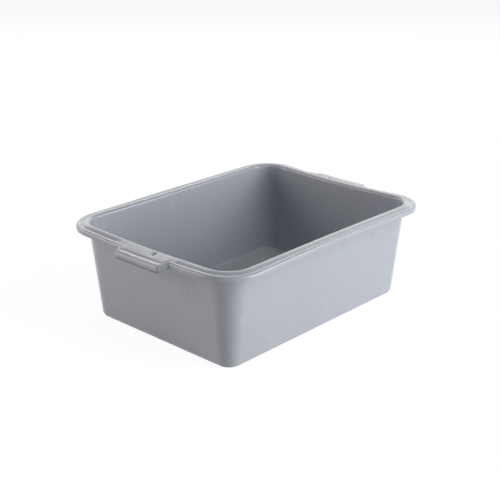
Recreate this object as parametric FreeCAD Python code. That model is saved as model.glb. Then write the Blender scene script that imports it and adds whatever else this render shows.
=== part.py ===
import FreeCAD, Part
import math
import os

# Bus tub: one moulding of grey plastic, open at the top, with a rolled rim
# and a hollow grip in the rim at each short end.
# X runs along the tub, Y across it and Z up. The origin is the middle of the
# footprint, on the table. Sizes are in millimetres, angles in degrees.

# Body, with the wall faces carried up to the height of the rim
HEIGHT = 174.0
LENGTH = 473.6
WIDTH = 354.2
CORNER_RADIUS = 42.0
DRAFT = 5.8
WALL = 2.8
FOOT_RADIUS = 10.0

# Raised panel in the floor, hollow below, so that the tub stands on a ring
PANEL_INSET = 28.0
PANEL_RISE = 2.0
PANEL_SLOPE = 40.0
PANEL_CORNER = 22.0

# Rim section: roll, shelf, valley, bead and lip, outwards from the wall face
ROLL_RADIUS = 5.5
SHELF_SLOPE = 15.0
VALLEY_REACH = 12.5
VALLEY_RADIUS = 5.0
BEAD_SLOPE = 12.0
BEAD_RADIUS = 3.6
RIM_REACH = 20.1
LIP_DEPTH = 11.5

# Grips, each set off the middle of its end, the two alike turned end for end,
# with a flat shoulder beyond each end of a grip, where the valley fills up
GRIP_LENGTH = 102.0
GRIP_OFFSET = 9.8
GRIP_REACH = 37.2
GRIP_DEPTH = 15.5
GRIP_SLOPE = 6.5
GRIP_CORNER = 4.9
GRIP_ROUND = 4.8
SHOULDER_LENGTH = 14.0

# Groove along the top of a grip, a shallow run of a round cutter
GROOVE_REACH = 26.0
GROOVE_RADIUS = 7.0
GROOVE_DEPTH = 0.9
GROOVE_MARGIN = 6.0

# Slot for hanging the tub, near one end of each grip
SLOT_LENGTH = 10.0
SLOT_WIDTH = 4.0
SLOT_REACH = 10.5
SLOT_FROM_END = 34.0

# Least distance that counts as a distance
TINY = 1e-6

UP = FreeCAD.Vector(0, 0, 1)


def tan(degrees):
    return math.tan(math.radians(degrees))


def cos(degrees):
    return math.cos(math.radians(degrees))


def sin(degrees):
    return math.sin(math.radians(degrees))


def rounded_corner(before, corner, after, radius):
    """Start, middle and end of the arc that rounds a corner."""
    back = (before - corner).normalize()
    ahead = (after - corner).normalize()
    half = back.getAngle(ahead) / 2
    reach = radius / math.tan(half)
    centre = corner + (back + ahead).normalize() * (radius / math.sin(half))
    middle = centre + (corner - centre).normalize() * radius
    return corner + back * reach, middle, corner + ahead * reach


def rounded_wire(corners, radii):
    """Closed outline through the corners; a radius of 0 leaves one sharp."""
    edges = []
    count = len(corners)
    stops = []
    for i in range(count):
        if radii[i] > 0:
            before = corners[i - 1]
            after = corners[(i + 1) % count]
            stops.append(rounded_corner(before, corners[i], after, radii[i]))
        else:
            stops.append((corners[i],))
    for i in range(count):
        stop = stops[i]
        following = stops[(i + 1) % count]
        if len(stop) == 3:
            edges.append(Part.Arc(*stop).toShape())
        if stop[-1].distanceToPoint(following[0]) > TINY:
            edges.append(Part.makeLine(stop[-1], following[0]))
    return Part.Wire(edges)


def meet(first, first_run, second, second_run):
    """Point where two lines in the section plane cross."""
    gap = second - first
    turn = first_run.x * second_run.z - first_run.z * second_run.x
    step = (gap.x * second_run.z - gap.z * second_run.x) / turn
    return first + first_run * step


def moved_right(corners, distance):
    """The same open path, moved over to its right-hand side."""
    runs = [(b - a).normalize() for a, b in zip(corners, corners[1:])]
    sides = [FreeCAD.Vector(run.z, 0, -run.x) * distance for run in runs]
    moved = [corners[0] + sides[0]]
    for i in range(1, len(runs)):
        start = corners[i] + sides[i - 1]
        moved.append(meet(start, runs[i - 1], corners[i] + sides[i], runs[i]))
    moved.append(corners[-1] + sides[-1])
    return moved


def at(reach, height):
    """Point of a section, by its reach beyond the outer wall face."""
    return FreeCAD.Vector(reach, 0, height)


def wall_face(height, depth):
    """Reach of the wall at a height, by its depth below the outer skin."""
    return -depth / cos(DRAFT) - (HEIGHT - height) * tan(DRAFT)


def roll_centre():
    height = HEIGHT - ROLL_RADIUS
    return at(wall_face(height, WALL) + ROLL_RADIUS / cos(DRAFT), height)


def slope_from_roll(slope, reach, depth):
    """Height of a slope that leaves the roll smoothly, less a depth."""
    centre = roll_centre()
    run = (reach - centre.x) * tan(slope)
    return centre.z + (ROLL_RADIUS - depth) / cos(slope) - run


def wall_corner(slope, depth):
    """Corner, before rounding, between the wall and a slope off the roll."""
    foot = at(wall_face(0, WALL - depth), 0)
    top = at(wall_face(HEIGHT, WALL - depth), HEIGHT)
    start = at(0, slope_from_roll(slope, 0, depth))
    return meet(foot, top - foot, start, at(cos(slope), -sin(slope)))


def rim_section():
    """Floor, wall and rim as one strip, from the corner's axis outwards."""
    valley = at(VALLEY_REACH, slope_from_roll(SHELF_SLOPE, VALLEY_REACH, 0))
    bead_height = valley.z + (RIM_REACH - VALLEY_REACH) * tan(BEAD_SLOPE)
    skin = [
        at(-CORNER_RADIUS, WALL),
        at(wall_face(WALL, WALL), WALL),
        wall_corner(SHELF_SLOPE, 0),
        valley,
        at(RIM_REACH, bead_height),
        at(RIM_REACH, HEIGHT - LIP_DEPTH),
    ]
    back = moved_right(skin, WALL)
    radii = [
        0,
        FOOT_RADIUS - WALL,
        ROLL_RADIUS,
        VALLEY_RADIUS,
        BEAD_RADIUS,
        0,
        0,
        0,
        0,
        0,
        FOOT_RADIUS,
        0,
    ]
    return Part.Face(rounded_wire(skin + back[::-1], radii))


def shell():
    """Section turned round the four corners and run along the sides."""
    half_x = LENGTH / 2 - CORNER_RADIUS
    half_y = WIDTH / 2 - CORNER_RADIUS
    section = rim_section()
    section.translate(FreeCAD.Vector(CORNER_RADIUS, 0, 0))
    solids = []
    for quarter in range(4):
        ahead, across = (half_x, half_y) if quarter % 2 == 0 else (half_y, half_x)
        corner = section.revolve(FreeCAD.Vector(), UP, 90)
        corner.translate(FreeCAD.Vector(ahead, across, 0))
        side = section.translated(FreeCAD.Vector(ahead, -across, 0))
        side = side.extrude(FreeCAD.Vector(0, 2 * across, 0))
        for solid in (corner, side):
            solid.rotate(FreeCAD.Vector(), UP, 90 * quarter)
            solids.append(solid)
    corner = FreeCAD.Vector(-half_x, -half_y, 0)
    floor = Part.makeBox(2 * half_x, 2 * half_y, WALL, corner)
    return floor.multiFuse(solids).removeSplitter()


def panel_outline(inset, height):
    """Rounded rectangle of the floor panel."""
    half_x = LENGTH / 2 + wall_face(WALL, WALL) - PANEL_INSET - inset
    half_y = WIDTH / 2 + wall_face(WALL, WALL) - PANEL_INSET - inset
    signs = [(1, 1), (-1, 1), (-1, -1), (1, -1)]
    corners = [FreeCAD.Vector(x * half_x, y * half_y, height) for x, y in signs]
    return rounded_wire(corners, [PANEL_CORNER - inset] * len(corners))


def panel(base):
    """Low block with sloping sides, standing on a height."""
    top = panel_outline(PANEL_RISE / tan(PANEL_SLOPE), base + PANEL_RISE)
    return Part.makeLoft([panel_outline(0, base), top], True, True)


def grip_outline(depth):
    """Outline, from above, of a grip and its shoulders, a depth inside their skin."""
    half = GRIP_LENGTH / 2 - depth
    end = half + SHOULDER_LENGTH
    front = GRIP_REACH - depth
    shoulder = RIM_REACH - depth
    places = [(-CORNER_RADIUS, end), (shoulder, end), (shoulder, half), (front, half)]
    places += [(x, -y) for x, y in reversed(places)]
    corners = [FreeCAD.Vector(x, y, 0) for x, y in places]
    inner = GRIP_CORNER + depth
    outer = GRIP_CORNER - depth
    return Part.Face(rounded_wire(corners, [0, 0, inner, outer, outer, inner, 0, 0]))


def top_edges(block, depth):
    """Edges round the sloping top of a grip's block, beyond the valley."""
    found = []
    for edge in block.Edges:
        ends = [vertex.Point for vertex in edge.Vertexes]
        drops = [slope_from_roll(GRIP_SLOPE, end.x, depth) - end.z for end in ends]
        if max(drops) < TINY and edge.BoundBox.XMin > VALLEY_REACH:
            found.append(edge)
    return found


def grip_block(depth, root, root_radii):
    """Block with a grip's outline, a depth inside its skin, outwards from its root."""
    low = root[0].z
    far = 2 * GRIP_REACH
    corners = root + [at(far, slope_from_roll(GRIP_SLOPE, far, depth)), at(far, low)]
    section = Part.Face(rounded_wire(corners, root_radii + [0, 0]))
    section.translate(FreeCAD.Vector(0, -GRIP_LENGTH, 0))
    outline = grip_outline(depth)
    outline.translate(UP * low)
    run = section.extrude(FreeCAD.Vector(0, 2 * GRIP_LENGTH, 0))
    block = run.common(outline.extrude(UP * 2 * GRIP_DEPTH))
    return block.makeFillet(GRIP_ROUND - depth, top_edges(block, depth))


def under_shoulders(low):
    """Boxes from the height of a grip's lower edge up to that of the lip's."""
    start = GRIP_LENGTH / 2 + GRIP_CORNER
    box = Part.makeBox(2 * GRIP_REACH, SHOULDER_LENGTH, GRIP_DEPTH - LIP_DEPTH)
    places = [(-GRIP_REACH, y, low) for y in (start, -start - SHOULDER_LENGTH)]
    return [box.translated(FreeCAD.Vector(*place)) for place in places]


def grip():
    """Filled grip, rooted in the middle of the wall and on the roll."""
    low = HEIGHT - GRIP_DEPTH
    roll = roll_centre()
    reach = roll.x + ROLL_RADIUS * sin(GRIP_SLOPE)
    root = [
        at(wall_face(low, WALL / 2), low),
        at(wall_face(roll.z, WALL / 2), roll.z),
        at(reach, slope_from_roll(GRIP_SLOPE, reach, 0)),
    ]
    return grip_block(0, root, [0, 0, 0]).cut(under_shoulders(low))


def grip_hollow():
    """Finger room inside a grip, from the wall's outer face, open below."""
    low = HEIGHT - GRIP_DEPTH - WALL
    root = [at(wall_face(low, 0), low), wall_corner(GRIP_SLOPE, WALL)]
    return grip_block(WALL, root, [0, 0])


def groove():
    """Round-ended cutter for the groove along a grip's top."""
    length = GRIP_LENGTH - 2 * GROOVE_MARGIN - 2 * GROOVE_RADIUS
    over = at(sin(GRIP_SLOPE), cos(GRIP_SLOPE)) * (GROOVE_RADIUS - GROOVE_DEPTH)
    bed = at(GROOVE_REACH, slope_from_roll(GRIP_SLOPE, GROOVE_REACH, 0))
    along = FreeCAD.Vector(0, 1, 0)
    start = bed + over - along * (length / 2)
    run = Part.makeCylinder(GROOVE_RADIUS, length, start, along)
    ends = [Part.makeSphere(GROOVE_RADIUS, start + along * y, along) for y in (0, length)]
    return run.multiFuse(ends).removeSplitter()


def slot():
    """Round-ended cutter for the hanging slot, long across the rim."""
    radius = SLOT_WIDTH / 2
    straight = SLOT_LENGTH - SLOT_WIDTH
    start = at(SLOT_REACH - straight / 2, HEIGHT - GRIP_DEPTH)
    start.y = GRIP_LENGTH / 2 - SLOT_FROM_END
    side = FreeCAD.Vector(0, radius, 0)
    middle = Part.makeBox(straight, SLOT_WIDTH, GRIP_DEPTH, start - side)
    ends = [Part.makeCylinder(radius, GRIP_DEPTH, start + at(x, 0)) for x in (0, straight)]
    return middle.multiFuse(ends).removeSplitter()


def at_ends(shape):
    """The two copies of a grip's shape, one at each end of the tub."""
    first = shape.translated(FreeCAD.Vector(LENGTH / 2, GRIP_OFFSET, 0))
    second = first.copy()
    second.rotate(FreeCAD.Vector(), UP, 180)
    return [first, second]


def tub():
    body = shell().fuse(panel(WALL)).cut(panel(0))
    body = body.multiFuse(at_ends(grip()))
    hollows = at_ends(grip_hollow()) + at_ends(groove()) + at_ends(slot())
    return body.cut(hollows).removeSplitter()


def main():
    os.makedirs("parts", exist_ok=True)
    shape = tub()
    box = shape.BoundBox
    print("tub: valid", shape.isValid(), "solids", len(shape.Solids), "faces", len(shape.Faces))
    print("size", round(box.XLength, 1), round(box.YLength, 1), round(box.ZLength, 1))
    print("volume", round(shape.Volume / 1000, 1), "cm3")
    shape.exportStep("parts/tub.step")


main()
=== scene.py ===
# %% [markdown]
# # A bus tub, moulded in one piece
# A bus tub is the grey box that clears tables in a restaurant. It is one thin
# moulding of polyethylene: a floor, four tapered walls, a rolled rim, and a
# hollow grip in the rim at each short end. We load the measured solid first,
# so that all that follows fits its frame, in metres.

# %% The frame
import math
import bpy
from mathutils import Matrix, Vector


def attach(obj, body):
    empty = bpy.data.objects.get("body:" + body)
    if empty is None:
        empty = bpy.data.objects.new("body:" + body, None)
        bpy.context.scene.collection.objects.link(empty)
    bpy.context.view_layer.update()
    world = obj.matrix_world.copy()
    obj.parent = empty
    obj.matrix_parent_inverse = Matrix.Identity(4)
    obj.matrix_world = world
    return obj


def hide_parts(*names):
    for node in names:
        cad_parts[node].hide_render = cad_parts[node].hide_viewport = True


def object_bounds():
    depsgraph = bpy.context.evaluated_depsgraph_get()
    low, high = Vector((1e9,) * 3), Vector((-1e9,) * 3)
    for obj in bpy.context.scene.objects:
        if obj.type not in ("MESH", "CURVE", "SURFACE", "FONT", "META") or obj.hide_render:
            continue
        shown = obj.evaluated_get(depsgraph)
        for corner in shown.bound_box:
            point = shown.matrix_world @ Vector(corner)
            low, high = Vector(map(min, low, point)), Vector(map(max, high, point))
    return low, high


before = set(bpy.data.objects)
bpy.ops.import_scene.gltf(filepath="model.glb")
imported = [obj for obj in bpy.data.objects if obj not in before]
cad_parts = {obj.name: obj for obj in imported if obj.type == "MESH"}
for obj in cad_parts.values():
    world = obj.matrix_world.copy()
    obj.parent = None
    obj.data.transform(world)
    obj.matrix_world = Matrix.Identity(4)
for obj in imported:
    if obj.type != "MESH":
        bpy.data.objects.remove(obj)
cad_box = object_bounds()
LENGTH_OVER_GRIPS, WIDTH_OVER_RIM, HEIGHT = cad_box[1] - cad_box[0]
MM = 0.001
print("tub", [round(v, 4) for v in cad_box[1] - cad_box[0]])

# %% [markdown]
# ## The camera
# The picture was taken from a corner, a little above the rim, with a long
# lens. We say where the camera looks and how far away it stands, and let
# Blender turn it: a camera looks along its own -Z. The small shift moves the
# camera sideways and up without turning it, so the tub sits in the frame as
# it does in the picture.

# %% Camera
AZIMUTH = math.radians(-47.05)
ELEVATION = math.radians(21.24)
DISTANCE = 1.8894
AIM = Vector((0, 0, 0.5 * HEIGHT))
PICTURE_SHIFT = (-0.00071, 0.01216)
FOCAL_PIXELS = 1072.64
PICTURE_PIXELS = 500
SENSOR = 36.0

backwards = Vector((
    math.sin(AZIMUTH) * math.cos(ELEVATION),
    -math.cos(AZIMUTH) * math.cos(ELEVATION),
    math.sin(ELEVATION),
))
rightwards = Vector((math.cos(AZIMUTH), math.sin(AZIMUTH), 0))
upwards = backwards.cross(rightwards)

camera_data = bpy.data.cameras.new("camera")
camera_data.sensor_width = SENSOR
camera_data.lens = FOCAL_PIXELS / PICTURE_PIXELS * SENSOR
camera_data.clip_end = 50
camera = bpy.data.objects.new("camera", camera_data)
camera.location = AIM + backwards * DISTANCE + rightwards * PICTURE_SHIFT[0] + upwards * PICTURE_SHIFT[1]
camera.rotation_euler = (-backwards).to_track_quat("-Z", "Y").to_euler()
bpy.context.scene.collection.objects.link(camera)
bpy.context.scene.camera = camera
print("camera at", [round(v, 3) for v in camera.location], "lens", round(camera_data.lens, 1))

# %% [markdown]
# ## The section of the moulding
# Cut the real tub anywhere and the cut shows one skin of even thickness. So
# we draw only the skin's inner side, as a line of points that give reach
# beyond the wall and height, and thicken it at the end. Each bend of the mould
# is an arc. Three such lines are needed: the rim, the flat shelf beside a
# grip, and the grip. All have the same number of points, so that each can
# turn into the next.

# %% Sizes of the moulding
WALL = 2.8 * MM
DRAFT = math.radians(5.8)
CORNER = 42.0 * MM
RIM_REACH = 20.1 * MM
GRIP_REACH = 37.2 * MM
SIDE_X = LENGTH_OVER_GRIPS / 2 - GRIP_REACH - CORNER
SIDE_Y = WIDTH_OVER_RIM / 2 - RIM_REACH - CORNER
FOOT = 7.2 * MM
ROLL = 5.5 * MM
LIP_DEPTH = 11.5 * MM
GRIP_DEPTH = 15.5 * MM
print("corner centres at", round(SIDE_X, 4), round(SIDE_Y, 4))


# %% Rounding a line of points
def rounded(points, radii, steps):
    """The line with each bend turned into an arc of its radius, in so many steps."""
    line = [Vector(points[0])]
    for before, bend, after, radius, count in zip(points, points[1:], points[2:], radii, steps):
        bend = Vector(bend)
        back = (Vector(before) - bend).normalized()
        ahead = (Vector(after) - bend).normalized()
        turn = math.pi - back.angle(ahead)
        if turn < 1e-4:
            line += [bend] * (count + 1)
            continue
        reach = radius * math.tan(turn / 2)
        middle = (back + ahead).normalized() * (radius / math.cos(turn / 2))
        arm = back * reach - middle
        side = (ahead * reach - middle).normalized()
        across = (side - arm.normalized() * side.dot(arm.normalized())).normalized() * radius
        for i in range(count + 1):
            angle = turn * i / count
            line.append(bend + middle + arm * math.cos(angle) + across * math.sin(angle))
    return line + [Vector(points[-1])]


def inner_wall(height):
    """Reach of the wall's inner face at a height."""
    return -WALL / math.cos(DRAFT) - (HEIGHT - height) * math.tan(DRAFT)


def slope_height(slope, reach):
    """Height of a slope that leaves the roll smoothly, at a reach."""
    centre_height = HEIGHT - ROLL
    centre_reach = inner_wall(centre_height) + ROLL / math.cos(DRAFT)
    return centre_height + ROLL / math.cos(slope) - (reach - centre_reach) * math.tan(slope)


def wall_meets(slope):
    """Corner, before it is rounded, between the wall and a slope off the roll."""
    rise = math.tan(DRAFT)
    fall = math.tan(slope)
    reach = (inner_wall(HEIGHT) + (slope_height(slope, 0) - HEIGHT) * rise) / (1 + fall * rise)
    return reach, slope_height(slope, reach)


# %% [markdown]
# The rim falls from the roll, gently and then more steeply, to a valley. It
# rises again to a round bead and drops as a lip. Beside a grip the valley
# fills up until the top is flat. The grip runs on along that same slope, has a
# shallow groove near its front, and drops a little lower.

# %% The three lines
LINE_START = -CORNER + 4.0 * MM
SHELF_SLOPE = math.radians(7.0)
SHELF_MIDDLE = 7.0 * MM
SHELF_ROUND = 20.0 * MM
VALLEY_SLOPE = math.radians(23.0)
VALLEY_REACH = 12.8 * MM
VALLEY_ROUND = 4.5 * MM
BANK_MIDDLE = 14.5 * MM
BANK_ROUND = 1.0 * MM
BEAD_SLOPE = math.radians(12.0)
BEAD_ROUND = 4.3 * MM
GRIP_SLOPE = math.radians(6.5)
GRIP_ROUND = 4.8 * MM
GROOVE_REACH = 26.0 * MM
GROOVE_HALF_WIDTH = 4.6 * MM
GROOVE_DEPTH = 1.1 * MM
GROOVE_ROUND = 4.0 * MM
GROOVE_EDGE_ROUND = 3.0 * MM
BEND_STEPS = (8, 12, 3, 6, 3, 10)


def section_line(slope, top, radii, lowest):
    """A whole line: floor, wall, the points of the top, and the lip's lower edge."""
    floor_and_wall = [(LINE_START, WALL), (inner_wall(WALL), WALL), wall_meets(slope)]
    return rounded(floor_and_wall + top + [(top[-1][0], lowest)], (FOOT, ROLL) + radii, BEND_STEPS)


def rim_line():
    """Shelf, valley, bank and bead of the rim."""
    shelf = slope_height(SHELF_SLOPE, SHELF_MIDDLE)
    valley = shelf - (VALLEY_REACH - SHELF_MIDDLE) * math.tan(VALLEY_SLOPE)
    top = [(SHELF_MIDDLE, shelf), (VALLEY_REACH, valley)]
    for reach in (BANK_MIDDLE, RIM_REACH):
        top.append((reach, valley + (reach - VALLEY_REACH) * math.tan(BEAD_SLOPE)))
    radii = (SHELF_ROUND, VALLEY_ROUND, BANK_ROUND, BEAD_ROUND)
    return section_line(SHELF_SLOPE, top, radii, HEIGHT - LIP_DEPTH)


def sloping_top(reaches):
    """Points of a flat top that falls with the grip's slope."""
    return [(reach, slope_height(GRIP_SLOPE, reach)) for reach in reaches]


def flat_line():
    """The rim beside a grip, with its valley filled up."""
    top = sloping_top((SHELF_MIDDLE, VALLEY_REACH, BANK_MIDDLE, RIM_REACH))
    radii = (BANK_ROUND, BANK_ROUND, BANK_ROUND, BEAD_ROUND)
    return section_line(GRIP_SLOPE, top, radii, HEIGHT - LIP_DEPTH)


def grip_line():
    """The grip, with the groove near its front."""
    groove = (GROOVE_REACH - GROOVE_HALF_WIDTH, GROOVE_REACH, GROOVE_REACH + GROOVE_HALF_WIDTH)
    top = sloping_top(groove + (GRIP_REACH,))
    top[1] = (GROOVE_REACH, top[1][1] - GROOVE_DEPTH)
    radii = (GROOVE_EDGE_ROUND, GROOVE_ROUND, GROOVE_EDGE_ROUND, GRIP_ROUND)
    return section_line(GRIP_SLOPE, top, radii, HEIGHT - GRIP_DEPTH)


lines = {"rim": rim_line(), "flat": flat_line(), "grip": grip_line()}
print("points in each line", [len(line) for line in lines.values()])

# %% [markdown]
# ## The rows of the skin
# Every point of the lines becomes a row that runs round the whole tub. Inside
# the roll a row keeps its distance from the wall. Out on the bead and the lip
# it keeps its distance from the lip's edge instead, because that edge swings
# out round the grips. Rows in between share the two. A row's height is told
# as a drop below the slope of the grip, which meets every section on the
# roll. The first rows make the floor, whose middle is a low raised panel.

# %% Rows
PANEL_INSET = 28.0 * MM
PANEL_CORNER = 22.0 * MM
PANEL_RISE = 2.0 * MM
PANEL_RUN = 2.4 * MM
PANEL_ROUND = 4.0 * MM
PANEL_MARGIN = 8.0 * MM
PANEL_RINGS = 5
PANEL_STEPS = 4
WALL_ROWS = 6
LIP_ROWS = 4
REACHES = {"rim": RIM_REACH, "flat": RIM_REACH, "grip": GRIP_REACH}

panel_x = (SIDE_X + CORNER + inner_wall(WALL) - PANEL_INSET - PANEL_CORNER) / SIDE_X
panel_y = (SIDE_Y + CORNER + inner_wall(WALL) - PANEL_INSET - PANEL_CORNER) / SIDE_Y


def divided(line, start, count):
    """The line with the run after a point split into equal parts."""
    a, b = line[start], line[start + 1]
    return line[:start + 1] + [a.lerp(b, i / count) for i in range(1, count)] + line[start + 1:]


def drop(point, reach):
    """Height of a point over the grip's slope at a reach."""
    return point.y - slope_height(GRIP_SLOPE, reach)


def panel_rows():
    """Rows of the raised panel, from the middle out to its edge, and of the step down."""
    step = rounded([
        (0, WALL + PANEL_RISE),
        (PANEL_CORNER - PANEL_RUN, WALL + PANEL_RISE),
        (PANEL_CORNER, WALL),
        (PANEL_CORNER + PANEL_MARGIN, WALL),
    ], (PANEL_ROUND, PANEL_ROUND), (PANEL_STEPS, PANEL_STEPS))
    shares = [i / PANEL_RINGS for i in range(PANEL_RINGS)]
    places = [(share, step[1].x * share, step[0]) for share in shares]
    places += [(1.0, point.x, point) for point in step[1:-1]]
    rows = []
    for share, reach, point in places:
        row = {"spread": (panel_x * share, panel_y * share, 0)}
        for name in REACHES:
            row[name + "_run"] = (reach, 0, 0)
            row[name + "_drop"] = drop(point, reach - CORNER)
        rows.append(row)
    return rows


def section_rows(lines, roll_end, bead_start):
    """Rows of the floor's edge, the wall and the rim, one for each point of the lines."""
    rows = []
    for i in range(len(lines["rim"])):
        row = {"spread": (1, 1, 0)}
        for name, reach in REACHES.items():
            point, roll, bead = (lines[name][j] for j in (i, roll_end, bead_start))
            if i <= roll_end:
                run = (point.x + CORNER, 0, 0)
            else:
                share = min((point.x - roll.x) / (bead.x - roll.x), 1)
                run = (roll.x + CORNER, reach - max(point.x, bead.x), share)
            row[name + "_run"] = run
            row[name + "_drop"] = drop(point, point.x)
        rows.append(row)
    return rows


wall_start = 1 + BEND_STEPS[0]
for name, line in lines.items():
    line = divided(line, len(line) - 2, LIP_ROWS)
    lines[name] = divided(line, wall_start, WALL_ROWS)
roll_end = wall_start + WALL_ROWS + BEND_STEPS[1]
bead_start = len(lines["rim"]) - 1 - LIP_ROWS - BEND_STEPS[5]
rows = panel_rows() + section_rows(lines, roll_end, bead_start)
print("rows", len(rows))

# %% [markdown]
# ## The stations round the tub
# A station is one place on the way round. It holds the nearest corner centre
# or side point, the way out from there, and the point that the lip passes.
# At a grip's ends the lip turns out on a small arc, runs out at a slant, and
# turns back on another arc. The stations crowd together there and fan out
# from the wall, so that no two of them cross. The tub looks the same after
# half a turn, so only half of the way is written.

# %% Stations
GRIP_LENGTH = 102.0 * MM
GRIP_OFFSET = 9.8 * MM
END_SLANT = math.radians(26)
BLEND_IN = 4.9 * MM
BLEND_OUT = 4.9 * MM
TOP_INSET = 4.3 * MM
FAN_STEP = 0.6 * MM
ARC_STEPS = 8
RUN_STEPS = 6
MIDDLE_STEPS = 16
CORNER_STEPS = 20
SIDE_STEPS = 28
PLATEAU_FADE = 14.0 * MM
END_STEPS = 10


def smooth(value):
    """0 to 1 with a gentle start and end."""
    value = min(max(value, 0.0), 1.0)
    return value * value * (3 - 2 * value)


def station(base, out, lip=None, lip_out=None, grip_share=0.0, plateau=0.0):
    """One place on the way round. The lip runs beside the wall unless it is told."""
    base, out = Vector((*base, 0)), Vector((*out, 0))
    return {
        "base": base,
        "out": out,
        "lip": Vector((*lip, 0)) if lip else base + out * (CORNER + RIM_REACH),
        "lip_out": Vector((*lip_out, 0)) if lip_out else out,
        "grip": grip_share,
        "plateau": plateau,
    }


def grip_end():
    """Foot, lip point (along, out) and lip normal of each station at a grip's end."""
    half = GRIP_LENGTH / 2
    face = (math.cos(END_SLANT), math.sin(END_SLANT))
    turns = [(math.pi / 2 - END_SLANT) * i / ARC_STEPS for i in range(ARC_STEPS + 1)]
    run = GRIP_REACH - RIM_REACH - BLEND_OUT - BLEND_IN
    root = half - BLEND_OUT + (run * face[1] + BLEND_OUT + BLEND_IN) / face[0]
    path = []
    for angle in turns:
        way = (math.sin(angle), math.cos(angle))
        along = root - BLEND_IN * way[0]
        path.append((along - TOP_INSET * way[0], (along, RIM_REACH + BLEND_IN * (1 - way[1])), way))
    foot, start = path[-1][:2]
    stop = (half - BLEND_OUT * (1 - face[0]), GRIP_REACH - BLEND_OUT * (1 - face[1]))
    for i in range(1, RUN_STEPS):
        foot -= FAN_STEP
        share = i / RUN_STEPS
        path.append((foot, tuple(a + (b - a) * share for a, b in zip(start, stop)), face))
    for angle in turns:
        foot -= FAN_STEP
        way = (math.cos(END_SLANT + angle), math.sin(END_SLANT + angle))
        path.append((foot, (half - BLEND_OUT * (1 - way[0]), GRIP_REACH - BLEND_OUT * (1 - way[1])), way))
    return path


def end_side():
    """Stations up the end that lies at +X, from -Y to +Y."""
    edge = SIDE_X + CORNER
    path = grip_end()
    outer, last_foot, last_lip = path[0][0], path[-1][0], path[-1][1][0]
    found = []
    for sign in (-1, 1):
        side = []
        length = SIDE_Y - sign * GRIP_OFFSET
        for i in range(END_STEPS):
            along = length + (outer - length) * i / END_STEPS
            plateau = smooth(1 - (along - outer) / PLATEAU_FADE)
            side.append(station((SIDE_X, GRIP_OFFSET + sign * along), (1, 0), plateau=plateau))
        for foot, (along, out), way in path:
            side.append(station(
                (SIDE_X, GRIP_OFFSET + sign * foot),
                (1, 0),
                (edge + out, GRIP_OFFSET + sign * along),
                (way[1], sign * way[0]),
                (out - RIM_REACH) / (GRIP_REACH - RIM_REACH),
                1.0,
            ))
        found.append(side)
    middle = []
    for i in range(1, MIDDLE_STEPS):
        share = 2 * i / MIDDLE_STEPS - 1
        foot, lip = GRIP_OFFSET + last_foot * share, GRIP_OFFSET + last_lip * share
        middle.append(station((SIDE_X, foot), (1, 0), (edge + GRIP_REACH, lip), (1, 0), 1.0, 1.0))
    return found[0] + middle + found[1][::-1]


def half_way_round():
    """Stations of one end, a corner, a long side and the next corner."""
    found = end_side()
    for i in range(1, CORNER_STEPS):
        angle = math.pi / 2 * i / CORNER_STEPS
        found.append(station((SIDE_X, SIDE_Y), (math.cos(angle), math.sin(angle))))
    for i in range(SIDE_STEPS + 1):
        found.append(station((SIDE_X - 2 * SIDE_X * i / SIDE_STEPS, SIDE_Y), (0, 1)))
    for i in range(1, CORNER_STEPS):
        angle = math.pi / 2 * (1 + i / CORNER_STEPS)
        found.append(station((-SIDE_X, SIDE_Y), (math.cos(angle), math.sin(angle))))
    return found


def turned(place):
    """The station's twin after half a turn of the tub."""
    twin = dict(place)
    for name in ("base", "out", "lip", "lip_out"):
        twin[name] = Vector((-place[name].x, -place[name].y, 0))
    return twin


stations = half_way_round()
stations += [turned(place) for place in stations]
print("stations", len(stations))


# %% [markdown]
# ## Weaving the skin with Geometry Nodes
# Rows and stations are kept as two small clouds of points, with what they know
# stored as attributes. A Geometry Nodes tree makes a plain grid, one column
# for each station, looks up the row and the station of each of its points, and
# moves the point to its place. Changing a size then changes the whole tub.

# %% Clouds of points
def point_cloud(name, records):
    """Points whose attributes hold the records' values, for the tree to read."""
    mesh = bpy.data.meshes.new(name)
    mesh.vertices.add(len(records))
    for key, sample in records[0].items():
        if isinstance(sample, float):
            mesh.attributes.new(key, "FLOAT", "POINT")
            mesh.attributes[key].data.foreach_set("value", [record[key] for record in records])
        else:
            mesh.attributes.new(key, "FLOAT_VECTOR", "POINT")
            values = [value for record in records for value in record[key]]
            mesh.attributes[key].data.foreach_set("vector", values)
    holder = bpy.data.objects.new(name, mesh)
    bpy.context.scene.collection.objects.link(holder)
    return holder


row_cloud = point_cloud("rows", rows)
station_cloud = point_cloud("stations", stations)
print("clouds of", len(row_cloud.data.vertices), "and", len(station_cloud.data.vertices), "points")


# %% [markdown]
# A tree is easier to read when each node is one short line. `Weaver` adds a
# node, wires what it is given to the node's sockets, and hands back the
# result. Numbers go straight into a socket, and results are linked to it.

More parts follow.
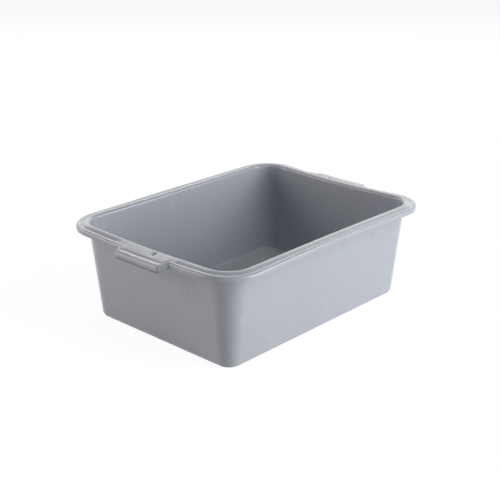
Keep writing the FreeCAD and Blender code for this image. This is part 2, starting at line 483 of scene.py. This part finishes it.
# %% A helper that adds nodes
class Weaver:
    """Builds one tree of Geometry Nodes."""

    def __init__(self, name):
        self.tree = bpy.data.node_groups.new(name, "GeometryNodeTree")
        self.tree.interface.new_socket(name="Skin", in_out="OUTPUT", socket_type="NodeSocketGeometry")
        self.sizes = {}

    def size(self, name, kind, value=None):
        """A named input of the tree. The modifier knows it by its identifier."""
        socket = self.tree.interface.new_socket(name=name, in_out="INPUT", socket_type=kind)
        if value is not None:
            socket.default_value = value
        self.sizes[name] = socket.identifier

    def begin(self):
        """Makes the inputs ready to be wired."""
        self.inputs = self.tree.nodes.new("NodeGroupInput").outputs

    def node(self, kind, output, *wires, **settings):
        """One node with its settings and wires, and the output that is wanted."""
        made = self.tree.nodes.new(kind)
        for name, value in settings.items():
            setattr(made, name, value)
        open_sockets = [socket for socket in made.inputs if socket.enabled]
        for socket, value in zip(open_sockets, wires):
            if isinstance(value, bpy.types.NodeSocket):
                self.tree.links.new(value, socket)
            elif value is not None:
                socket.default_value = value
        return [socket for socket in made.outputs if socket.enabled][output]

    def maths(self, operation, *wires):
        return self.node("ShaderNodeMath", 0, *wires, operation=operation)

    def vectors(self, operation, *wires):
        return self.node("ShaderNodeVectorMath", 0, *wires, operation=operation)

    def scaled(self, vector, scale):
        return self.node("ShaderNodeVectorMath", 0, vector, scale, operation="SCALE")

    def mix(self, kind, share, a, b):
        return self.node("ShaderNodeMix", 0, share, a, b, data_type=kind, clamp_factor=False)

    def read(self, cloud, index, name, kind):
        """The named attribute of one point of a cloud."""
        value = self.node("GeometryNodeInputNamedAttribute", 0, name, data_type=kind)
        return self.node("GeometryNodeSampleIndex", 0, cloud, value, index, data_type=kind)


# %% [markdown]
# The first part of the tree works out each point's place. It asks the rim,
# the flat shelf and the grip where the point would be, and blends the three
# answers by the shares that its station holds.

# %% The grid and its points
def grid_of_skin(weaver):
    """The grid with each point at its place."""
    rows_in = weaver.node("GeometryNodeObjectInfo", 4, weaver.inputs["Rows"])
    stations_in = weaver.node("GeometryNodeObjectInfo", 4, weaver.inputs["Stations"])
    row_count = weaver.node("GeometryNodeAttributeDomainSize", 0, rows_in)
    station_count = weaver.node("GeometryNodeAttributeDomainSize", 0, stations_in)
    columns = weaver.maths("ADD", station_count, 1.0)
    grid = weaver.node("GeometryNodeMeshGrid", 0, 1.0, 1.0, row_count, columns)
    index = weaver.node("GeometryNodeInputIndex", 0)
    row = weaver.maths("FLOOR", weaver.maths("DIVIDE", index, columns))
    column = weaver.maths("SUBTRACT", index, weaver.maths("MULTIPLY", row, columns))
    place = weaver.maths("MODULO", column, station_count)

    spread = weaver.read(rows_in, row, "spread", "FLOAT_VECTOR")
    plateau = weaver.read(stations_in, place, "plateau", "FLOAT")
    grip_share = weaver.read(stations_in, place, "grip", "FLOAT")

    def blended(word, kind):
        """What the rim, the flat shelf and the grip say, in this station's shares."""
        says = [weaver.read(rows_in, row, name + word, kind) for name in REACHES]
        mix_kind = kind.replace("FLOAT_", "")
        beside = weaver.mix(mix_kind, plateau, says[0], says[1])
        return weaver.mix(mix_kind, grip_share, beside, says[2])

    parts = weaver.tree.nodes.new("ShaderNodeSeparateXYZ")
    weaver.tree.links.new(blended("_run", "FLOAT_VECTOR"), parts.inputs[0])
    from_base, from_lip, lip_share = parts.outputs

    base = weaver.read(stations_in, place, "base", "FLOAT_VECTOR")
    out = weaver.read(stations_in, place, "out", "FLOAT_VECTOR")
    lip = weaver.read(stations_in, place, "lip", "FLOAT_VECTOR")
    lip_out = weaver.read(stations_in, place, "lip_out", "FLOAT_VECTOR")
    foot = weaver.vectors("MULTIPLY", base, spread)
    inner = weaver.vectors("ADD", foot, weaver.scaled(out, from_base))
    outer = weaver.vectors("SUBTRACT", lip, weaver.scaled(lip_out, from_lip))
    plan = weaver.mix("VECTOR", lip_share, inner, outer)
    gone_out = weaver.vectors("DOT_PRODUCT", weaver.vectors("SUBTRACT", plan, foot), out)
    reach = weaver.maths("SUBTRACT", gone_out, CORNER)
    fall = weaver.maths("MULTIPLY", reach, -math.tan(GRIP_SLOPE))
    slope = weaver.maths("ADD", fall, slope_height(GRIP_SLOPE, 0))
    height = weaver.maths("ADD", slope, blended("_drop", "FLOAT"))
    lift = weaver.node("ShaderNodeCombineXYZ", 0, 0.0, 0.0, height)
    return weaver.node("GeometryNodeSetPosition", 0, grid, None, weaver.vectors("ADD", plan, lift))


# %% [markdown]
# The last step of the tree bends the finished grid by a few millimetres. Thin
# walls pull as they cool: the long sides of such tubs bow inwards, which tips
# up the lip of their rim, and the short ends sag in the middle. All of this
# fades out at the corners and at the foot. The lip lifts only outside the
# rim's highest line, so that the tub doesn't grow taller.

# %% Cooling
CREST_REACH = 2.6 * MM
HEIGHT_POWER = 1.5
END_POWER = 4.0
HUMP_POWER = 1.5


def cooled(weaver, skin):
    """The skin after it has pulled: bowed long sides and sagging ends."""
    parts = weaver.tree.nodes.new("ShaderNodeSeparateXYZ")
    weaver.tree.links.new(weaver.node("GeometryNodeInputPosition", 0), parts.inputs[0])
    x, y, z = parts.outputs
    up = weaver.maths("POWER", weaver.maths("DIVIDE", z, HEIGHT), HEIGHT_POWER)

    def hump(value, reach):
        """1 in the middle, falling smoothly to 0 where the corner begins to turn."""
        share = weaver.maths("DIVIDE", value, reach + CORNER / 4)
        left = weaver.maths("SUBTRACT", 1.0, weaver.maths("MULTIPLY", share, share))
        return weaver.maths("POWER", weaver.maths("MAXIMUM", left, 0.0), HUMP_POWER)

    def product(first, *others):
        """All the values multiplied together."""
        for other in others:
            first = weaver.maths("MULTIPLY", first, other)
        return first

    y_share = weaver.maths("DIVIDE", y, SIDE_Y + CORNER)
    x_share = weaver.maths("DIVIDE", x, SIDE_X + CORNER)
    at_end = weaver.maths("POWER", weaver.maths("ABSOLUTE", x_share), END_POWER)
    at_side = product(y_share, weaver.maths("ABSOLUTE", y_share))
    bow = product(hump(x, SIDE_X), product(at_side, up), weaver.inputs["Side bow"])
    sag = product(hump(y, SIDE_Y), product(at_end, up), weaver.inputs["End sag"])
    crest = SIDE_Y + CORNER + CREST_REACH
    beyond = weaver.maths("SUBTRACT", weaver.maths("ABSOLUTE", y), crest)
    rim_share = weaver.maths("DIVIDE", beyond, RIM_REACH - CREST_REACH)
    lift = product(hump(x, SIDE_X), weaver.maths("MAXIMUM", rim_share, 0.0), weaver.inputs["Lip lift"])
    inwards = weaver.maths("MULTIPLY", bow, -1.0)
    shift = weaver.node("ShaderNodeCombineXYZ", 0, 0.0, inwards, weaver.maths("SUBTRACT", lift, sag))
    return weaver.node("GeometryNodeSetPosition", 0, skin, None, None, shift)


# %% [markdown]
# The whole tree has a named input for each cloud, for each bend and for the
# plastic. The last column of the grid lies on the first, and the first row is
# drawn together in the middle of the floor. Merging the points that meet
# closes both, and a skin with no open seam can be given a wall.

# %% The whole tree
SIDE_BOW = 2.2 * MM
END_SAG = 3.0 * MM
LIP_LIFT = 2.0 * MM
MERGE_DISTANCE = 0.01 * MM


def skin_tree():
    """The whole tree, from the empty holder to the bent skin."""
    weaver = Weaver("moulded skin")
    weaver.size("Rows", "NodeSocketObject")
    weaver.size("Stations", "NodeSocketObject")
    weaver.size("Side bow", "NodeSocketFloat", SIDE_BOW)
    weaver.size("End sag", "NodeSocketFloat", END_SAG)
    weaver.size("Lip lift", "NodeSocketFloat", LIP_LIFT)
    weaver.size("Material", "NodeSocketMaterial")
    weaver.begin()
    skin = cooled(weaver, grid_of_skin(weaver))
    skin = weaver.node("GeometryNodeMergeByDistance", 0, skin, None, MERGE_DISTANCE)
    skin = weaver.node("GeometryNodeRealizeInstances", 0, skin)
    skin = weaver.node("GeometryNodeSetMaterial", 0, skin, None, weaver.inputs["Material"])
    last = weaver.tree.nodes.new("NodeGroupOutput")
    weaver.tree.links.new(skin, last.inputs[0])
    return weaver


# %% [markdown]
# ## The plastic
# Moulded polyethylene has a satin gloss, and a tub that has seen a dish room
# carries faint scuffs. The colour drifts a little over the walls, where the
# pigment ran unevenly. A fine grain breaks up the reflections, and faint pale
# scuffs run along the walls and across the grips. A dark line of painted shade
# runs along the lower edge of the grips, where the skirt's underside is in shade.

# %% Plastic
PLASTIC = (0.40, 0.425, 0.465)
MIDDLE_BAND = (0.3, 0.7)
DRIFT = 0.02
SCUFF = 0.010
SCUFF_LAYERS = (4, 0.6)
ALONG_WALLS = (1, 1, 14)
ALONG_BAND = (0.62, 0.84)
ACROSS_GRIPS = (12, 12, 1)
ACROSS_BAND = (0.64, 0.86)
ROUGHNESS = (0.22, 0.28)
SCUFF_ROUGHNESS = 1.5
GRAIN = 0.25
GRAIN_DEPTH = 0.12 * MM
# Painted shade under the grips: its strength, the height of the grips' lower edge, and the bands where it
# fades in above, below and out along X.
PAINTED_SHADE = 0.45
PAINTED_SHADE_EDGE = HEIGHT - GRIP_DEPTH - 3.2 * MM
PAINTED_SHADE_ABOVE = (1.8 * MM, 3.0 * MM)
PAINTED_SHADE_BELOW = (-2.0 * MM, -1.0 * MM)
PAINTED_SHADE_OUT = (250.0 * MM, 256.0 * MM)


def tub_plastic():
    """Satin grey plastic with drift, scuffs, grain and painted shade, all on Object coordinates."""
    material = bpy.data.materials.new("satin grey polyethylene")
    material.use_nodes = True
    nodes, links = material.node_tree.nodes, material.node_tree.links
    shader = nodes["Principled BSDF"]
    place = nodes.new("ShaderNodeTexCoord").outputs["Object"]

    def noise(scale, detail, roughness=0.5, stretch=(1, 1, 1)):
        """Noise of some waves to the metre and finer layers, squeezed along the axes of stretch."""
        mapping = nodes.new("ShaderNodeMapping")
        mapping.inputs["Scale"].default_value = stretch
        links.new(place, mapping.inputs["Vector"])
        made = nodes.new("ShaderNodeTexNoise")
        made.inputs["Scale"].default_value = scale
        made.inputs["Detail"].default_value = detail
        made.inputs["Roughness"].default_value = roughness
        links.new(mapping.outputs[0], made.inputs["Vector"])
        return made.outputs["Fac"]

    def spread(value, low, high, to_low, to_high):
        """The value's run from low to high, told as a run from to_low to to_high."""
        made = nodes.new("ShaderNodeMapRange")
        for socket, number in zip(made.inputs[1:5], (low, high, to_low, to_high)):
            socket.default_value = number
        links.new(value, made.inputs[0])
        return made.outputs[0]

    def combine(operation, a, b):
        made = nodes.new("ShaderNodeMath")
        made.operation = operation
        for socket, value in zip(made.inputs, (a, b)):
            if isinstance(value, float):
                socket.default_value = value
            else:
                links.new(value, socket)
        return made.outputs[0]

    def painted_shade():
        """Below 1 in a band of painted shade along the lower edge of the grips."""
        parts = nodes.new("ShaderNodeSeparateXYZ")
        links.new(place, parts.inputs[0])
        low = spread(parts.outputs["Z"], *(PAINTED_SHADE_EDGE + reach for reach in PAINTED_SHADE_ABOVE), PAINTED_SHADE, 0)
        far_out = spread(combine("ABSOLUTE", parts.outputs["X"], 0.0), *PAINTED_SHADE_OUT, 0, 1)
        high = spread(parts.outputs["Z"], *(PAINTED_SHADE_EDGE + reach for reach in PAINTED_SHADE_BELOW), 0, 1)
        return combine("SUBTRACT", 1.0, combine("MULTIPLY", combine("MULTIPLY", low, far_out), high))

    drift = spread(noise(7, 3), *MIDDLE_BAND, -DRIFT, DRIFT)
    along = spread(noise(30, *SCUFF_LAYERS, ALONG_WALLS), *ALONG_BAND, 0, SCUFF)
    across = spread(noise(26, *SCUFF_LAYERS, ACROSS_GRIPS), *ACROSS_BAND, 0, SCUFF)
    scuffs = combine("ADD", along, across)
    # The tone is darkened by the painted shade along the grips' lower edge.
    tone = combine("MULTIPLY", combine("ADD", combine("ADD", drift, scuffs), 1.0), painted_shade())
    tint = nodes.new("ShaderNodeVectorMath")
    tint.operation = "SCALE"
    tint.inputs[0].default_value = PLASTIC
    links.new(tone, tint.inputs["Scale"])
    links.new(tint.outputs[0], shader.inputs["Base Color"])

    satin = spread(noise(18, 4), *MIDDLE_BAND, *ROUGHNESS)
    rough = combine("ADD", satin, combine("MULTIPLY", scuffs, SCUFF_ROUGHNESS))
    links.new(rough, shader.inputs["Roughness"])
    shader.inputs["Specular IOR Level"].default_value = 0.5
    shader.inputs["IOR"].default_value = 1.5

    bump = nodes.new("ShaderNodeBump")
    bump.inputs["Strength"].default_value = GRAIN
    bump.inputs["Distance"].default_value = GRAIN_DEPTH
    grain = combine("ADD", noise(900, 2), combine("MULTIPLY", noise(60, 3), 1.5))
    links.new(grain, bump.inputs["Height"])
    links.new(bump.outputs[0], shader.inputs["Normal"])
    return material


plastic = tub_plastic()
print("plastic", PLASTIC)

# %% [markdown]
# ## From the grid to the moulding
# The tree runs as a modifier on an empty object, whose inputs are set by their
# identifiers. We take its result as a plain mesh, and the two clouds have then
# done their work. Solidify gives the skin its wall, outwards, so that the
# drawn line stays the inner side.

# %% Woven skin
def woven_skin():
    """The empty object with the tree on it."""
    weaver = skin_tree()
    holder = bpy.data.objects.new("tub_moulding", bpy.data.meshes.new("tub_moulding"))
    bpy.context.scene.collection.objects.link(holder)
    modifier = holder.modifiers.new("skin", "NODES")
    modifier.node_group = weaver.tree
    modifier[weaver.sizes["Rows"]] = row_cloud
    modifier[weaver.sizes["Stations"]] = station_cloud
    modifier[weaver.sizes["Material"]] = plastic
    return holder


def settle(piece):
    """Turns what the modifiers make into the piece's own plain mesh."""
    view = bpy.context.evaluated_depsgraph_get()
    mesh = bpy.data.meshes.new_from_object(piece.evaluated_get(view))
    piece.modifiers.clear()
    old = piece.data
    piece.data = mesh
    bpy.data.meshes.remove(old)


moulding = woven_skin()
settle(moulding)
for cloud in (row_cloud, station_cloud):
    bpy.data.objects.remove(cloud)
print("skin", len(moulding.data.vertices), "points", len(moulding.data.polygons), "faces")

# %% Wall thickness
wall = moulding.modifiers.new("wall", "SOLIDIFY")
wall.thickness = WALL
wall.offset = -1
wall.use_even_offset = True
wall.use_quality_normals = True
settle(moulding)
print("with its wall", len(moulding.data.polygons), "faces")

# %% [markdown]
# A hook goes through the slot, a short rounded hole in each grip. The slot's
# edge is thin: below it the hole is wider. So the cutter of the Boolean is a
# prism in two tiers, and a ray from above finds the height of the plastic.

# %% Hanging slots
SLOT_LENGTH = 8.6 * MM
SLOT_WIDTH = 7.2 * MM
SLOT_REACH = 8.3 * MM
SLOT_FROM_END = 36.7 * MM
SLOT_EDGE = 0.6 * MM
SLOT_FLARE = 2.6 * MM
SLOT_STEPS = 8


def slot_outline(grow):
    """The slot's outline, larger all round by some length."""
    outline = []
    radius = SLOT_WIDTH / 2 + grow
    for end in (1, -1):
        for i in range(SLOT_STEPS + 1):
            angle = math.pi * (i / SLOT_STEPS - 0.5)
            x = end * ((SLOT_LENGTH - SLOT_WIDTH) / 2 + radius * math.cos(angle))
            outline.append((x, end * radius * math.sin(angle)))
    return outline


def slot_cutter():
    """Two prisms, one through each grip."""
    points, faces = [], []
    slot_x = SIDE_X + CORNER + SLOT_REACH
    slot_y = GRIP_OFFSET + GRIP_LENGTH / 2 - SLOT_FROM_END
    for sign in (1, -1):
        above = Vector((sign * slot_x, sign * (slot_y + SLOT_WIDTH + SLOT_FLARE), 2 * HEIGHT))
        top = moulding.ray_cast(above, Vector((0, 0, -1)))[1].z
        tiers = (
            (HEIGHT - GRIP_DEPTH, SLOT_FLARE), (top - SLOT_EDGE, SLOT_FLARE),
            (top - SLOT_EDGE, 0), (HEIGHT + GRIP_DEPTH, 0),
        )
        first = len(points)
        for height, grow in tiers:
            outline = slot_outline(grow)
            points += [(sign * (slot_x + x), sign * (slot_y + y), height) for x, y in outline]
        count = len(outline)
        faces.append([first + i for i in range(count)][::-1])
        faces.append([first + (len(tiers) - 1) * count + i for i in range(count)])
        for tier in range(len(tiers) - 1):
            low = first + tier * count
            for i in range(count):
                j = (i + 1) % count
                faces.append([low + i, low + j, low + count + j, low + count + i])
    mesh = bpy.data.meshes.new("slot_cutter")
    mesh.from_pydata(points, [], faces)
    cutter = bpy.data.objects.new("slot_cutter", mesh)
    bpy.context.scene.collection.objects.link(cutter)
    return cutter


cutter = slot_cutter()
hole = moulding.modifiers.new("slots", "BOOLEAN")
hole.operation = "DIFFERENCE"
hole.solver = "EXACT"
hole.object = cutter
settle(moulding)
bpy.data.objects.remove(cutter)
print("with its slots", len(moulding.data.polygons), "faces")

# %% [markdown]
# A small Bevel takes the sharpness off the lip and the slots.

# %% Soft edges
EDGE_ROUND = 0.9 * MM
EDGE_TURN = math.radians(50)
SHARP_TURN = math.radians(40)

soften = moulding.modifiers.new("soft edges", "BEVEL")
soften.width = EDGE_ROUND
soften.segments = 3
soften.limit_method = "ANGLE"
soften.angle_limit = EDGE_TURN
settle(moulding)
moulding.data.shade_smooth()
moulding.data.set_sharp_from_angle(angle=SHARP_TURN)
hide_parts("tub")
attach(moulding, "root")
print("moulding", len(moulding.data.polygons), "faces")

# %% [markdown]
# ## The floor and the background
# The picture has a white ground with hardly any shadow. The floor is a plain
# pale sheet that mixes two finishes. The larger share glows, and the rest is
# lit, so that the tub keeps its soft shadow. Where no shadow falls the two
# come out just white together. Only the rays that see the floor, straight or
# in gloss, meet the glow. The tub may show it as in a mirror, but is not lit
# by it.

# %% Floor
FLOOR_SIZE = 12.0
SHADOW_SHARE = 0.14
FLOOR_GLOW = 1.08
FLOOR_PALE = (0.9, 0.9, 0.9, 1)
WHITE = (1, 1, 1, 1)


def seen_rays(nodes, links):
    """1 for rays by which the eye sees a surface: straight, in gloss or through glass."""
    path = nodes.new("ShaderNodeLightPath").outputs
    value = path["Is Camera Ray"]
    for name in ("Is Glossy Ray", "Is Transmission Ray"):
        either = nodes.new("ShaderNodeMath")
        either.operation = "MAXIMUM"
        links.new(value, either.inputs[0])
        links.new(path[name], either.inputs[1])
        value = either.outputs[0]
    return value


def floor_material():
    """Pale when lit, and mostly white to the rays that see it."""
    material = bpy.data.materials.new("pale floor")
    material.use_nodes = True
    nodes, links = material.node_tree.nodes, material.node_tree.links
    nodes.clear()
    lit = nodes.new("ShaderNodeBsdfDiffuse")
    lit.inputs["Color"].default_value = FLOOR_PALE
    white = nodes.new("ShaderNodeEmission")
    white.inputs["Color"].default_value = WHITE
    white.inputs["Strength"].default_value = FLOOR_GLOW
    seen = nodes.new("ShaderNodeMath")
    seen.operation = "MULTIPLY"
    seen.inputs[1].default_value = 1 - SHADOW_SHARE
    links.new(seen_rays(nodes, links), seen.inputs[0])
    both = nodes.new("ShaderNodeMixShader")
    links.new(seen.outputs[0], both.inputs[0])
    links.new(lit.outputs[0], both.inputs[1])
    links.new(white.outputs[0], both.inputs[2])
    end = nodes.new("ShaderNodeOutputMaterial")
    links.new(both.outputs[0], end.inputs["Surface"])
    return material


def floor():
    """One large square on the ground."""
    half = FLOOR_SIZE / 2
    corners = [(-half, -half, 0), (half, -half, 0), (half, half, 0), (-half, half, 0)]
    mesh = bpy.data.meshes.new("floor")
    mesh.from_pydata(corners, [], [(0, 1, 2, 3)])
    mesh.materials.append(floor_material())
    made = bpy.data.objects.new("floor", mesh)
    bpy.context.scene.collection.objects.link(made)
    return made


floor()
print("floor", FLOOR_SIZE, "m wide, lit share", SHADOW_SHARE)

# %% [markdown]
# ## The light
# The picture was taken in front of a white sheet, under a dark ceiling. The
# world shows the sheet up to some height and fades to dark grey above it. Like
# the floor's glow, it is there only for the rays that see it. The satin rim
# shows it as a weak mirror would.

# %% Background
SHEET_TOP = math.sin(math.radians(36))
CEILING_START = math.sin(math.radians(50))
CEILING_GREY = 0.1


def white_world():
    """White round the tub and dark overhead. A direction's Z is the sine of its rise."""
    world = bpy.data.worlds.new("studio")
    world.use_nodes = True
    nodes, links = world.node_tree.nodes, world.node_tree.links
    parts = nodes.new("ShaderNodeSeparateXYZ")
    links.new(nodes.new("ShaderNodeTexCoord").outputs["Generated"], parts.inputs[0])
    ceiling = nodes.new("ShaderNodeMapRange")
    ceiling.interpolation_type = "SMOOTHSTEP"
    for socket, number in zip(ceiling.inputs[1:5], (SHEET_TOP, CEILING_START, 1.0, CEILING_GREY)):
        socket.default_value = number
    links.new(parts.outputs["Z"], ceiling.inputs[0])
    strength = nodes.new("ShaderNodeMath")
    strength.operation = "MULTIPLY"
    links.new(seen_rays(nodes, links), strength.inputs[0])
    links.new(ceiling.outputs[0], strength.inputs[1])
    links.new(strength.outputs[0], nodes["Background"].inputs["Strength"])
    nodes["Background"].inputs["Color"].default_value = WHITE
    bpy.context.scene.world = world


white_world()
print("sheet up to", round(SHEET_TOP, 3), "ceiling from", round(CEILING_START, 3))

# %% [markdown]
# The tub was lit from both sides. A soft box far round to the right makes the
# long side bright, a larger and warmer one far round to the left lights the
# short end, and the corner that faces the camera between them stays dark. Two
# weaker lamps, high on the right and overhead, lighten the inside. The white
# sheet behind shines on the flat top of the rim. Each lamp is placed by its
# turn round the tub from the camera and its rise above the floor, in degrees,
# and has a width, a height, a power in watts and a colour.

# %% Lamps
LAMP_DISTANCE = 3.0
LAMP_AIM = Vector((0, 0, 0.1))


def soft_box(name, turn, rise, width, height, power, color=(1, 1, 1)):
    """A lit rectangle that faces the tub and is hidden from the camera."""
    around, rise = AZIMUTH + math.radians(turn), math.radians(rise)
    level = math.cos(rise)
    way = Vector((math.sin(around) * level, -math.cos(around) * level, math.sin(rise)))
    data = bpy.data.lights.new(name, "AREA")
    data.shape = "RECTANGLE"
    data.size = width
    data.size_y = height
    data.energy = power
    data.color = color
    lamp = bpy.data.objects.new(name, data)
    lamp.location = LAMP_AIM + way * LAMP_DISTANCE
    lamp.rotation_euler = (-way).to_track_quat("-Z", "Y").to_euler()
    lamp.visible_camera = False
    bpy.context.scene.collection.objects.link(lamp)
    print(name, [round(v, 2) for v in lamp.location], power)


soft_box("right soft box", 73, 11, 1.9, 1.9, 88, (0.955, 0.965, 1.0))
soft_box("left soft box", -97, 16, 2.8, 2.4, 61, (1.0, 0.94, 0.95))
soft_box("high right lamp", 60, 45, 1.6, 1.6, 22)
soft_box("overhead lamp", 0, 89, 1.6, 1.6, 12, (1.0, 0.96, 0.9))
soft_box("white sheet behind", 180, 26, 3.6, 1.3, 24)
bpy.context.scene.view_settings.view_transform = "Standard"
